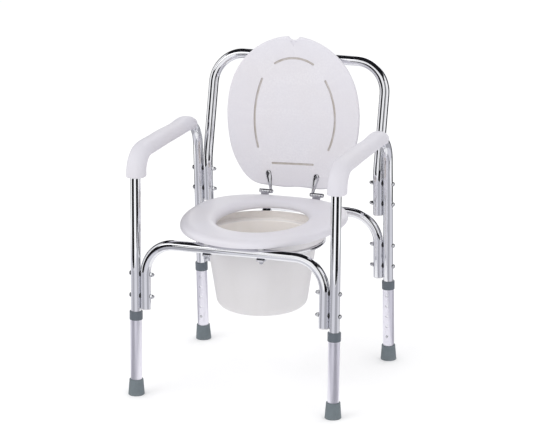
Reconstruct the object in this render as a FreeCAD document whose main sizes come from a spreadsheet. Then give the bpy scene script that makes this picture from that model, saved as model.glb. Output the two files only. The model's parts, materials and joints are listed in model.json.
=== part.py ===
"""Commode chair: bent-tube frame with telescoping legs, hinged seat and lid, armrests and a lift-out pail.

Millimetres, +Z up, the user faces -Y, +X to the right of someone who looks at the chair from the front.
Every sub-part is one object with its own label and placement, and is written to parts/<label>.step.
"""
import FreeCAD, Part
import math
import os
import re
import Sketcher
from FreeCAD import Placement, Rotation
from FreeCAD import Vector as V

doc = FreeCAD.newDocument("commode_chair")
sheet = doc.addObject("Spreadsheet::Sheet", "Sizes")

SIZES = [
    ("y_off", -21.65, "shift that centres the outline over the origin"),
    ("half_w", 258.6, "centre plane to leg axis"),
    ("half_d", 230.0, "centre to leg axis at the floor"),
    ("rake", 2.2906, "inward rake of every leg, degrees"),
    ("tube_r", 12.7, "frame tube outside radius"),
    ("bore_r", 11.1, "frame tube inside radius"),
    ("inner_x", 232.2, "centre plane to cross-tube axis"),
    ("leg_end", 52.0, "frame tube end above the floor, along the leg"),
    ("arm_z", 609.5, "armrest tube axis height"),
    ("arm_bend", 54.0, "side frame front bend radius"),
    ("rear_bend", 72.0, "side frame rear bend radius"),
    ("arm_lo", 555.0, "armrest lower end height"),
    ("bar_z", 392.3, "cross bar axis, along the raked plane"),
    ("bar_bend", 76.0, "cross bar bend radius"),
    ("bar_end", 225.2, "cross tube lower end, along the raked plane"),
    ("back_end", 394.0, "backrest tube lower end, along the leg"),
    ("back_knee", 505.0, "backrest bend height"),
    ("back_top", 774.0, "backrest top bar axis height"),
    ("back_lean", 14.84, "backrest lean from vertical, degrees"),
    ("back_r", 80.0, "backrest corner bend radius"),
    ("knee_r", 150.0, "backrest knee bend radius"),
    ("cross_lo", 256.0, "lower cross-tube bolt, along the leg"),
    ("cross_hi", 312.0, "upper cross-tube bolt, along the leg"),
    ("back_lo", 423.0, "lower backrest bolt, along the leg"),
    ("back_hi", 477.0, "upper backrest bolt, along the leg"),
    ("bolt_r", 3.0, "bolt shank radius"),
    ("hole_r", 3.3, "bolt clearance hole radius"),
    ("ext_r", 14.3, "leg extension outside radius"),
    ("ext_bore", 13.0, "leg extension inside radius"),
    ("ext_lo", 8.0, "leg extension lower end"),
    ("ext_hi", 211.0, "leg extension upper end"),
    ("hole_z", 66.0, "lowest height hole"),
    ("pitch", 28.0, "height hole spacing"),
    ("snap_hole", 3.5, "height hole radius"),
    ("pin_r", 3.42, "snap button radius"),
    ("pin_in", 8.6, "snap button inner face"),
    ("pin_out", 16.6, "snap button outer face"),
    ("collar_r", 16.4, "collar outside radius"),
    ("collar_lo", 194.0, "collar lower edge"),
    ("collar_hi", 216.0, "collar upper edge"),
    ("guide_r", 12.78, "collar guide bore"),
    ("tip_h", 40.0, "rubber tip height"),
    ("tip_r0", 20.5, "rubber tip radius at the floor"),
    ("tip_r1", 17.4, "rubber tip radius at its top"),
    ("seat_lo", 408.4, "seat underside"),
    ("seat_t", 21.6, "seat thickness"),
    ("seat_w", 203.0, "seat half width"),
    ("seat_front", 249.0, "seat centre line to front edge"),
    ("seat_back", 196.0, "seat centre line to rear edge"),
    ("open_w", 112.0, "seat opening half width"),
    ("open_l", 139.0, "seat opening half length"),
    ("open_y", -11.5, "seat opening centre"),
    ("hinge_y", 206.0, "hinge axis"),
    ("hinge_z", 431.0, "hinge axis height"),
    ("lid_lean", 5.0, "raised lid, degrees past upright"),
    ("lid_gap", 2.9, "hinge axis to the lid's inner face"),
    ("lid_t", 11.0, "lid thickness"),
    ("pail_y", -18.0, "pail axis"),
    ("pail_lo", 197.0, "pail underside"),
    ("pail_seat", 379.3, "pail flange underside"),
    ("pail_top", 398.0, "pail lip top"),
    ("pail_r1", 139.5, "pail outside radius under the flange"),
    ("pail_r0", 112.0, "pail outside radius at the bottom"),
    ("pail_rim", 162.0, "pail flange outside radius"),
    ("pail_t", 2.6, "pail wall"),
    ("ring_r", 156.5, "holder ring radius"),
    ("ring_z", 371.0, "holder ring axis height"),
    ("rod_r", 5.0, "holder ring rod radius"),
    ("tab_x", 70.0, "holder tab and hinge post offset"),
    ("tab_w", 22.0, "holder tab width"),
    ("tab_t", 4.0, "holder tab thickness"),
]
for row, (alias, value, note) in enumerate(SIZES, 1):
    sheet.set(f"A{row}", note)
    sheet.set(f"B{row}", str(value))
    sheet.setAlias(f"B{row}", alias)
doc.recompute()
S = {alias: float(sheet.get(alias)) for alias, _, _ in SIZES}


def val(e):
    """The number that a sum of products of aliases and numbers stands for."""
    if isinstance(e, (int, float)):
        return float(e)
    total = 0.0
    for sign, term in re.findall(r"([+-]?)([^+-]+)", e.replace(" ", "")):
        p = 1.0
        for op, f in re.findall(r"([*/]?)([^*/]+)", term):
            x = S[f] if f in S else float(f)
            p = p / x if op == "/" else p * x
        total += -p if sign == "-" else p
    return total


def bind(obj, path, e):
    if isinstance(e, str):
        obj.setExpression(path, re.sub(r"[A-Za-z_]\w*", lambda m: "Sizes." + m.group(0), e))


PARTS = []


def place(obj, pos, rot=None):
    obj.Placement = Placement(V(pos[0], pos[1] + S["y_off"], pos[2]), rot or Rotation())


def new_body(label, pos=(0, 0, 0), rot=None):
    b = doc.addObject("PartDesign::Body", label)
    b.Label = label
    place(b, pos, rot)
    PARTS.append(b)
    return b


def computed(label, shape, pos=(0, 0, 0), rot=None):
    o = doc.addObject("Part::Feature", label)
    o.Label = label
    o.Shape = shape
    place(o, pos, rot)
    PARTS.append(o)
    return o


def sketch(body, plane, offset=0.0, name="Sketch"):
    sk = body.newObject("Sketcher::SketchObject", name)
    origin = next(f for f in body.Origin.OriginFeatures if f.Role == plane)
    sk.AttachmentSupport = [(origin, "")]
    sk.MapMode = "FlatFace"
    if isinstance(offset, str) or offset:
        sk.AttachmentOffset = Placement(V(0, 0, val(offset)), Rotation())
        bind(sk, "AttachmentOffset.Base.z", offset)
    sk.Visibility = False
    return sk


def pin_point(sk, geo, pos, x, y):
    if abs(val(x)) < 1e-9 and abs(val(y)) < 1e-9:
        sk.addConstraint(Sketcher.Constraint("Coincident", geo, pos, -1, 1))
        return
    for e, kind, axis in ((x, "DistanceX", -2), (y, "DistanceY", -1)):
        if abs(val(e)) < 1e-9:
            sk.addConstraint(Sketcher.Constraint("PointOnObject", geo, pos, axis))
        else:
            n = sk.addConstraint(Sketcher.Constraint(kind, -1, 1, geo, pos, val(e)))
            bind(sk, f"Constraints[{n}]", e)


def outline(sk, pts, closed=True):
    P = [V(val(x), val(y), 0) for x, y in pts]
    n = len(P)
    ids = [sk.addGeometry(Part.LineSegment(P[i], P[(i + 1) % n]), False) for i in range(n if closed else n - 1)]
    for i in range(len(ids) - (0 if closed else 1)):
        sk.addConstraint(Sketcher.Constraint("Coincident", ids[i], 2, ids[(i + 1) % len(ids)], 1))
    for i, (x, y) in enumerate(pts):
        if i < len(ids):
            pin_point(sk, ids[i], 1, x, y)
        else:
            pin_point(sk, ids[-1], 2, x, y)
    return ids


def circle(sk, x, y, r):
    c = sk.addGeometry(Part.Circle(V(val(x), val(y), 0), V(0, 0, 1), val(r)), False)
    n = sk.addConstraint(Sketcher.Constraint("Radius", c, val(r)))
    bind(sk, f"Constraints[{n}]", r)
    pin_point(sk, c, 3, x, y)
    return c


def spline(sk, pts):
    b = Part.BSplineCurve()
    b.interpolate([V(x, y, 0) for x, y in pts], PeriodicFlag=True)
    return sk.addGeometry(b, False)


def both_sides(f, on=True):
    if hasattr(f, "SideType"):
        f.SideType = "Symmetric" if on else "One side"
    else:
        f.Midplane = on


def pad(body, sk, length, both=False, back=False):
    f = body.newObject("PartDesign::Pad", "Pad")
    f.Profile = sk
    f.Length = val(length)
    bind(f, "Length", length)
    f.Reversed = back
    if both:
        both_sides(f)
    body.Tip = f
    doc.recompute()
    return f


def pocket(body, sk, length=None, both=False, back=False):
    before = body.Shape.Volume
    f = body.newObject("PartDesign::Pocket", "Pocket")
    f.Profile = sk
    if length is None:
        f.Type = "ThroughAll"
    else:
        f.Length = val(length)
        bind(f, "Length", length)
    f.Reversed = back
    if both:
        both_sides(f)
    body.Tip = f
    doc.recompute()
    if not body.Shape.Volume < before - 1e-6:
        raise RuntimeError(f"{body.Label}: a pocket removes nothing ({before}, {body.Shape.Volume}, {f.getStatusString()})")
    return f


def turned(body, pts, plane="XZ_Plane"):
    sk = sketch(body, plane)
    outline(sk, pts)
    f = body.newObject("PartDesign::Revolution", "Revolution")
    f.Profile = sk
    f.ReferenceAxis = (sk, ["V_Axis"])
    f.Angle = 360
    body.Tip = f
    doc.recompute()
    return f


def fillet(body, r, pick):
    base = body.Tip
    edges = [f"Edge{i}" for i, e in enumerate(base.Shape.Edges, 1) if pick(e)]
    if not edges:
        raise RuntimeError(f"{body.Label}: no edge to round")
    f = body.newObject("PartDesign::Fillet", "Fillet")
    f.Base = (base, edges)
    f.Radius = r
    body.Tip = f
    doc.recompute()
    return f


def swept(body, path, n, r_out, r_in, cut=False):
    """A round tube along a sketched path, its section square to the path's first edge."""
    sec = body.newObject("Sketcher::SketchObject", "Section")
    sec.AttachmentSupport = [(path, "Edge1")]
    sec.MapMode = "NormalToEdge"
    sec.MapPathParameter = 0.0
    sec.Visibility = False
    circle(sec, 0, 0, r_out)
    if r_in is not None:
        circle(sec, 0, 0, r_in)
    doc.recompute()
    f = body.newObject("PartDesign::SubtractivePipe" if cut else "PartDesign::AdditivePipe", "Sweep")
    f.Profile = sec
    f.Spine = (path, [f"Edge{i + 1}" for i in range(n)])
    f.Mode = "Standard"
    body.Tip = f
    doc.recompute()
    return f


def bent(points, radii):
    """Lines and arcs through the corner points, with each corner rounded by its radius."""
    out, start = [], points[0]
    for i in range(1, len(points) - 1):
        a, c, b = points[i - 1], points[i], points[i + 1]
        u, w = (a - c).normalize(), (b - c).normalize()
        half = u.getAngle(w) / 2
        t = radii[i - 1] / math.tan(half)
        p, q = c + u * t, c + w * t
        mid = c + (u + w).normalize() * (radii[i - 1] / math.sin(half) - radii[i - 1])
        out += [("line", start, p), ("arc", p, mid, q)]
        start = q
    out.append(("line", start, points[-1]))
    return out


def path_sketch(body, plane, points, radii):
    """The path as a sketch: straight runs and tangent arcs, pinned at every joint."""
    sk = sketch(body, plane, name="Path")
    ids = []
    for kind, *p in bent([V(x, y, 0) for x, y in points], radii):
        ids.append(sk.addGeometry(Part.LineSegment(*p) if kind == "line" else Part.Arc(*p), False))
    doc.recompute()
    return sk, len(ids)


def wire3d(points, radii):
    return Part.Wire(
        [(Part.LineSegment(*p) if kind == "line" else Part.Arc(*p)).toShape() for kind, *p in bent(points, radii)]
    )


def tube3d(wire, r_out, r_in=None):
    e = wire.OrderedEdges[0]
    at, along = e.valueAt(e.FirstParameter), e.tangentAt(e.FirstParameter)
    solids = [
        wire.makePipeShell([Part.Wire(Part.makeCircle(r, at, along))], True, False, 2) for r in (r_out, r_in) if r
    ]
    return solids[0].cut(solids[1]) if r_in else solids[0]


T = math.tan(math.radians(S["rake"]))
C = math.cos(math.radians(S["rake"]))
RAKE = {-1: Rotation(V(1, 0, 0), -S["rake"]), 1: Rotation(V(1, 0, 0), S["rake"])}
# which end (front -1, rear 1) and side (left -1, right 1) each leg stands at
LEGS = {"front_left": (-1, -1), "front_right": (-1, 1), "rear_left": (1, -1), "rear_right": (1, 1)}
SIDES = {"left": -1, "right": 1}


def foot(end, side=0, x=None):
    return (S["half_w"] * side if x is None else x, S["half_d"] * end, 0)


def leg_yz(end, s):
    """Where a point s along a leg stands in Y and Z."""
    return end * (S["half_d"] - s * math.sin(math.radians(S["rake"]))), s * C


# ---- frame: side frames, one bent tube each, front foot to rear foot over the arm
def side_points(s_end):
    y0, z0 = leg_yz(1, s_end)
    top = S["half_d"] - S["arm_z"] * T
    return [(-y0, z0), (-top, S["arm_z"]), (top, S["arm_z"]), (y0, z0)]


for side, sx in SIDES.items():
    b = new_body(f"side_frame_{side}", (S["half_w"] * sx, 0, 0))
    path, n = path_sketch(b, "YZ_Plane", side_points(S["leg_end"]), [S["arm_bend"], S["rear_bend"]])
    swept(b, path, n, "tube_r", "bore_r")
    sk = sketch(b, "YZ_Plane")
    for end in (-1, 1):
        for s in ("cross_lo", "cross_hi") + (("back_lo", "back_hi") if end > 0 else ()):
            y, z = leg_yz(end, S[s])
            circle(sk, y, z, "hole_r")
    pocket(b, sk, both=True)
    # one hole for the snap button near each end, on the side that faces the middle of the chair
    for end in (-1, 1):
        y, z = leg_yz(end, S["hole_z"])
        sk = b.newObject("Sketcher::SketchObject", "Button_hole")
        origin = next(f for f in b.Origin.OriginFeatures if f.Role == "XZ_Plane")
        sk.AttachmentSupport = [(origin, "")]
        sk.MapMode = "FlatFace"
        # square to the raked leg, through its axis
        sk.AttachmentOffset = Placement(V(0, z, -y), Rotation(V(1, 0, 0), S["rake"] * end))
        sk.Visibility = False
        circle(sk, 0, 0, "snap_hole")
        pocket(b, sk, 20.0, back=end > 0)

# ---- frame: front and rear cross tubes, inverted U in the raked plane of the legs
for label, end in (("front_cross_tube", -1), ("rear_cross_tube", 1)):
    b = new_body(label, foot(end), RAKE[end])
    path, n = path_sketch(
        b,
        "XZ_Plane",
        [(-S["inner_x"], S["bar_end"]), (-S["inner_x"], S["bar_z"]), (S["inner_x"], S["bar_z"]), (S["inner_x"], S["bar_end"])],
        [S["bar_bend"]] * 2,
    )
    swept(b, path, n, "tube_r", "bore_r")
    sk = sketch(b, "YZ_Plane")
    circle(sk, 0, "cross_lo", "hole_r")
    circle(sk, 0, "cross_hi", "hole_r")
    pocket(b, sk, both=True)
    sk = sketch(b, "XY_Plane")
    circle(sk, "tab_x", 0, 3.9)
    circle(sk, "-tab_x", 0, 3.9)
    pocket(b, sk, both=True)

# ---- frame: backrest tube, bent in two planes
y0, z0 = leg_yz(1, S["back_end"])
yk = S["half_d"] - S["back_knee"] * T
yt = yk + (S["back_top"] - S["back_knee"]) * math.tan(math.radians(S["back_lean"]))
corners = [
    V(-S["inner_x"], y0, z0),
    V(-S["inner_x"], yk, S["back_knee"]),
    V(-S["inner_x"], yt, S["back_top"]),
    V(S["inner_x"], yt, S["back_top"]),
    V(S["inner_x"], yk, S["back_knee"]),
    V(S["inner_x"], y0, z0),
]
back = tube3d(wire3d(corners, [S["knee_r"], S["back_r"], S["back_r"], S["knee_r"]]), S["tube_r"], S["bore_r"])
for s in ("back_lo", "back_hi"):
    y, z = leg_yz(1, S[s])
    back = back.cut(Part.makeCylinder(S["hole_r"], 600, V(-300, y, z), V(1, 0, 0)))
computed("backrest_tube", back)

# ---- frame: end plugs of the cross tubes and the backrest tube
plugs = []
for end in (-1, 1):
    for sx in (-1, 1):
        for s in [S["bar_end"]] + ([S["back_end"]] if end > 0 else []):
            y, z = leg_yz(end, s)
            up = RAKE[end].multVec(V(0, 0, 1))
            p = Part.makeCylinder(S["tube_r"], 2.4, V(0, 0, -2.4)).fuse(Part.makeCylinder(S["bore_r"] - 0.05, 9.0))
            p = p.cut(Part.makeCylinder(S["bore_r"] - 2.2, 7.6, V(0, 0, 1.4)))
            p = p.removeSplitter()
            p = p.makeFillet(1.0, [e for e in p.Edges if abs(e.BoundBox.ZMax + 2.4) < 1e-4 and len(e.Vertexes) == 1])
            p.Placement = Placement(V(S["inner_x"] * sx, y, z), RAKE[end])
            plugs.append(p)
computed("tube_end_plugs", Part.makeCompound(plugs))

# ---- frame: bolts, nuts and spacers that join the cross tubes and backrest to the side frames
bolts, nuts, spacers = [], [], []
for end in (-1, 1):
    for sx in (-1, 1):
        for s in ("cross_lo", "cross_hi") + (("back_lo", "back_hi") if end > 0 else ()):
            y, z = leg_yz(end, S[s])
            out = S["half_w"] + S["tube_r"]
            inn = S["inner_x"] - S["tube_r"]
            # along +X from the inner tube's inner face to the outer face, mirrored for the left side
            turn = Rotation(V(0, 0, 1), 0 if sx > 0 else 180)
            at = V(0, y, z)
            ax = V(1, 0, 0)
            head = Part.makeCylinder(5.6, 1.6, V(out, 0, 0), ax).fuse(
                Part.makeSphere(7.0, V(out + 5.3 - 7.0, 0, 0), ax).common(Part.makeCylinder(5.6, 6, V(out + 1.6, 0, 0), ax))
            )
            shank = Part.makeCylinder(S["bolt_r"], out - inn + 7.0, V(inn - 7.0, 0, 0), ax)
            hexo = Part.Face(Part.makePolygon([V(out + 3.9, 2.3 * math.cos(math.radians(60 * k)), 2.3 * math.sin(math.radians(60 * k))) for k in range(7)])).extrude(V(4, 0, 0))
            bolt = head.fuse(shank).removeSplitter().cut(hexo)
            nut = Part.Face(Part.makePolygon([V(inn, 5.77 * math.cos(math.radians(60 * k)), 5.77 * math.sin(math.radians(60 * k))) for k in range(7)])).extrude(V(-4.6, 0, 0))
            cap = Part.makeSphere(4.7, V(inn - 5.6, 0, 0)).fuse(Part.makeCylinder(4.7, 1.2, V(inn - 5.6, 0, 0), ax))
            nut = nut.fuse(cap).removeSplitter()
            nut = nut.cut(Part.makeCylinder(S["bolt_r"], 7.2, V(inn - 7.2, 0, 0), ax))
            gap = S["half_w"] - S["inner_x"] - 2 * S["tube_r"]
            ring = Part.makeCylinder(7.0, gap, V(S["inner_x"] + S["tube_r"], 0, 0), ax).cut(
                Part.makeCylinder(S["hole_r"], gap, V(S["inner_x"] + S["tube_r"], 0, 0), ax)
            )
            for shape, group in ((bolt, bolts), (nut, nuts), (ring, spacers)):
                shape.Placement = Placement(at, turn)
                group.append(shape)
computed("frame_bolts", Part.makeCompound(bolts))
computed("frame_cap_nuts", Part.makeCompound(nuts))
computed("frame_spacers", Part.makeCompound(spacers))

# ---- frame: armrests, moulded round the side frames from the front leg over the arm into the rear bend
def armrest():
    pts = [V(0, y, z) for y, z in side_points(S["leg_end"])]
    w = wire3d(pts, [S["arm_bend"], S["rear_bend"]])
    edges = w.OrderedEdges
    # front leg, front bend, arm, rear bend; each with the share of it that is covered
    z_lo = S["arm_lo"]
    e0, e1, e2, e3 = edges[0:4]
    stations = []

    def at(e, t):
        p = e.FirstParameter + (e.LastParameter - e.FirstParameter) * t
        # an arc made through three points may run either way round
        return e.valueAt(p), e.tangentAt(p)

    def toward(e, t, start):
        p, d = at(e, t)
        if (at(e, 0)[0] - start).Length > 1e-3:
            p, d = at(e, 1 - t)
            d = d * -1
        return p, d

    start = edges[0].valueAt(edges[0].FirstParameter)
    ends = [pts[0]]
    for e in edges[:4]:
        a, b = at(e, 0)[0], at(e, 1)[0]
        ends.append(b if (a - ends[-1]).Length < 1e-3 else a)
    total = [e.Length for e in edges[:4]]
    s0 = (z_lo / C) - S["leg_end"]
    grow = lambda d: (0, (s0 + d) / total[0]) if s0 + d <= total[0] else (1, (s0 + d - total[0]) / total[1])
    # (edge, share, half width across X, half depth in the bend plane, offset away from the inside of the bend)
    plan = [
        (*grow(0.0), 21.6, 25.4, -4.8),
        (*grow(1.4), 22.8, 27.0, -4.8),
        (*grow(4.5), 23.2, 27.6, -4.8),
        (*grow(11.0), 23.2, 27.4, -4.5),
        (1, 0.25, 23.0, 26.8, -3.0),
        (1, 0.50, 22.6, 26.2, -0.8),
        (1, 0.78, 21.8, 24.0, 1.6),
        (1, 1.00, 21.0, 21.8, 3.2),
        (2, 0.15, 20.6, 20.6, 4.6),
        (2, 0.40, 20.4, 20.3, 5.2),
        (2, 0.75, 20.0, 19.6, 4.4),
        (3, 0.02, 19.2, 18.4, 2.6),
        (3, 0.12, 18.0, 16.8, 1.2),
        (3, 0.22, 16.4, 15.2, 0.5),
        (3, 0.285, 15.0, 14.2, 0.2),
        (3, 0.305, 14.2, 13.6, 0.0),
    ]
    wires = []
    for k, t, a, c, off in plan:
        p, d = toward(edges[k], t, ends[k])
        up = V(1, 0, 0).cross(d).normalize()  # in the bend plane, square to the path
        if up.z - up.y < 0:
            up = up * -1
        centre = p + up * off
        pts_ = []
        for j in range(24):
            f = 2 * math.pi * j / 24
            cx, cy = math.cos(f), math.sin(f)
            # a rounded section, fuller than an ellipse
            m = (abs(cx) ** 2.4 + abs(cy) ** 2.4) ** (-1 / 2.4)
            pts_.append(centre + V(1, 0, 0) * (a * m * cx) + up * (c * m * cy))
        bs = Part.BSplineCurve()
        bs.interpolate(pts_, PeriodicFlag=True)
        wires.append(Part.Wire(bs.toShape()))
    body = Part.makeLoft(wires, True, False)
    return body.cut(tube3d(w, S["tube_r"] + 0.1))


arm = armrest()
for side, sx in SIDES.items():
    computed(f"armrest_{side}", arm.copy(), (S["half_w"] * sx, 0, 0))

# ---- legs: extension tube, collar, rubber tip; and the snap buttons
for leg, (end, sx) in LEGS.items():
    b = new_body(f"leg_extension_{leg}", foot(end, sx), RAKE[end])
    turned(b, [("ext_bore", "ext_lo"), ("ext_r", "ext_lo"), ("ext_r", "ext_hi"), ("ext_bore", "ext_hi")])
    sk = sketch(b, "XZ_Plane")
    for k in range(5):
        circle(sk, 0, f"hole_z+{k}*pitch", "snap_hole")
    # the XZ plane's normal is -Y, and a rear leg's holes face -Y
    pocket(b, sk, 30.0, back=end > 0)

    b = new_body(f"leg_collar_{leg}", foot(end, sx), RAKE[end])
    turned(
        b,
        [
            ("ext_r+0.03", "collar_lo"),
            ("collar_r", "collar_lo"),
            ("collar_r", "collar_hi"),
            ("guide_r", "collar_hi"),
            ("guide_r", "ext_hi+0.1"),
            ("ext_r+0.03", "ext_hi+0.1"),
        ],
    )
    fillet(b, 1.3, lambda e: abs(e.BoundBox.XMax - S["collar_r"]) < 1e-3 and len(e.Vertexes) == 1 and e.BoundBox.ZLength < 1e-3)

    tip = Part.Wire(
        Part.makePolygon(
            [V(0, 0, -2), V(S["tip_r0"], 0, -2), V(S["tip_r0"], 0, 2.0), V(S["tip_r0"] - 0.5, 0, 7), V(S["tip_r1"], 0, S["tip_h"]), V(S["ext_r"] + 0.03, 0, S["tip_h"]), V(S["ext_r"] + 0.03, 0, S["ext_lo"]), V(0, 0, S["ext_lo"]), V(0, 0, -2)]
        )
    )
    tip = Part.Face(tip).revolve(V(0, 0, 0), V(0, 0, 1), 360)
    tip = tip.makeFillet(1.6, [e for e in tip.Edges if abs(e.BoundBox.ZMin - S["tip_h"]) < 1e-4 and abs(e.BoundBox.XMax - S["tip_r1"]) < 1e-3])
    turn = RAKE[end]
    # the sole is cut level with the floor
    tip.Placement = Placement(V(0, 0, 0), turn)
    tip = tip.cut(Part.makeBox(100, 100, 50, V(-50, -50, -50)))
    tip = tip.makeFillet(1.4, [e for e in tip.Edges if e.BoundBox.ZMax < 1e-4])
    computed(f"rubber_tip_{leg}", tip, foot(end, sx))

    # the button looks towards the middle of the chair
    look = V(0, -end, 0)
    pin = Part.makeCylinder(S["pin_r"], S["pin_out"] - S["pin_in"], look * S["pin_in"] + V(0, 0, S["hole_z"]), look)
    pin = pin.fuse(Part.makeCylinder(S["pin_r"] + 1.3, 1.0, look * S["pin_in"] + V(0, 0, S["hole_z"]), look)).removeSplitter()
    pin = pin.makeFillet(1.6, [e for e in pin.Edges if e.BoundBox.YLength < 1e-4 and abs(abs(e.BoundBox.YMin) - S["pin_out"]) < 1e-4])
    computed(f"snap_button_{leg}", pin, foot(end, sx), RAKE[end])

# leaf springs behind the snap buttons, one bent strip in each frame tube end
springs = []
for leg, (end, sx) in LEGS.items():
    half = 4.0
    t = 0.6
    z = S["hole_z"]
    q = S["pin_in"] - 0.05
    line = [V(0, q, z - 6), V(0, q, z + 8), V(0, 6.0, z + 24), V(0, -6.5, z + 36), V(0, -10.1, z + 24), V(0, -10.1, z - 2)]
    inner = [V(0, q - t, z - 6), V(0, q - t, z + 8 - 0.2), V(0, 6.0 - t, z + 23.6), V(0, -6.2, z + 35.2), V(0, -10.1 + t, z + 24), V(0, -10.1 + t, z - 2)]
    strip = Part.Face(Part.makePolygon(line + inner[::-1] + [line[0]])).extrude(V(2 * half, 0, 0))
    strip.translate(V(-half, 0, 0))
    if end > 0:
        strip = strip.mirror(V(0, 0, 0), V(0, 1, 0))
    x, y, _ = foot(end, sx)
    strip.Placement = Placement(V(x, y, 0), RAKE[end]).multiply(strip.Placement)
    springs.append(strip)
computed("button_springs", Part.makeCompound(springs))

# ---- pail holder: welded rod ring with four flat tabs that bolt under the cross bars
bar_y, bar_h = leg_yz(-1, S["bar_z"])
ring = Part.makeTorus(S["ring_r"], S["rod_r"], V(0, S["pail_y"], S["ring_z"]))
tab_top = bar_h - S["tube_r"] - 0.05
for sx in (-1, 1):
    for end in (-1, 1):
        root = math.sqrt(S["ring_r"] ** 2 - S["tab_x"] ** 2)
        a, c = S["pail_y"] + end * (root - 5.0), end * (abs(bar_y) + 11.0)
        y0, y1 = min(a, c), max(a, c)
        tab = Part.makeBox(S["tab_w"], y1 - y0, S["tab_t"], V(sx * S["tab_x"] - S["tab_w"] / 2, y0, tab_top - S["tab_t"]))
        tip_edges = [e for e in tab.Edges if e.BoundBox.ZLength > 1 and abs(e.BoundBox.YMin - c) < 1e-4]
        tab = tab.makeFillet(5.0, tip_edges)
        tab = tab.cut(Part.makeCylinder(3.4, 20, V(sx * S["tab_x"], end * abs(bar_y), tab_top - 10)))
        ring = ring.fuse(tab)
computed("pail_holder_ring", ring.removeSplitter())

# holder bolts: low heads on the front bar, hinge-post studs at the rear, cap nuts below all four
head_z = bar_h + S["tube_r"]
front = []
for sx in (-1, 1):
    x = sx * S["tab_x"]
    b = Part.makeCylinder(6.0, 1.8, V(x, bar_y, head_z)).fuse(Part.makeCylinder(S["bolt_r"], head_z - tab_top + S["tab_t"] + 8.0, V(x, bar_y, tab_top - S["tab_t"] - 8.0)))
    front.append(b.removeSplitter())
computed("holder_bolts", Part.makeCompound(front))
nuts = []
for sx in (-1, 1):
    for end in (-1, 1):
        x, y, z = sx * S["tab_x"], end * abs(bar_y), tab_top - S["tab_t"]
        n = Part.Face(Part.makePolygon([V(5.77 * math.cos(math.radians(60 * k)), 5.77 * math.sin(math.radians(60 * k)), 0) for k in range(7)])).extrude(V(0, 0, -4.8))
        n = n.fuse(Part.makeSphere(4.7, V(0, 0, -5.8)).fuse(Part.makeCylinder(4.7, 1.4, V(0, 0, -5.8)))).removeSplitter()
        n = n.cut(Part.makeCylinder(S["bolt_r"], 8.2, V(0, 0, -8.2)))
        n.translate(V(x, y, z))
        nuts.append(n)
computed("holder_cap_nuts", Part.makeCompound(nuts))
caps = []
for sx in (-1, 1):
    x = sx * S["tab_x"]
    c = Part.makeCylinder(9.0, S["seat_lo"] - (head_z - 3.2) - 0.05, V(x, bar_y, head_z - 3.2))
    c = c.makeFillet(1.0, [e for e in c.Edges if e.BoundBox.ZMin > head_z and len(e.Vertexes) == 1 and e.BoundBox.ZLength < 1e-3])
    c = c.cut(Part.makeCylinder(S["tube_r"] + 0.02, 60, V(x - 30, bar_y, bar_h), V(1, 0, 0)))
    c = c.cut(Part.makeCylinder(6.1, 1.9 + 3.2, V(x, bar_y, head_z - 3.2)))
    caps.append(c)
computed("seat_bumpers", Part.makeCompound(caps))

# ---- hinges: posts on the rear bar, pins, lid straps and seat straps
HY, HZ = S["hinge_y"], S["hinge_z"]
KR, PR, RUN = 5.5, 2.5, 0.08


def knuckle(x0, x1, bore):
    return Part.makeCylinder(KR, x1 - x0, V(x0, HY, HZ), V(1, 0, 0)).cut(Part.makeCylinder(bore, x1 - x0, V(x0, HY, HZ), V(1, 0, 0)))


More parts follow.
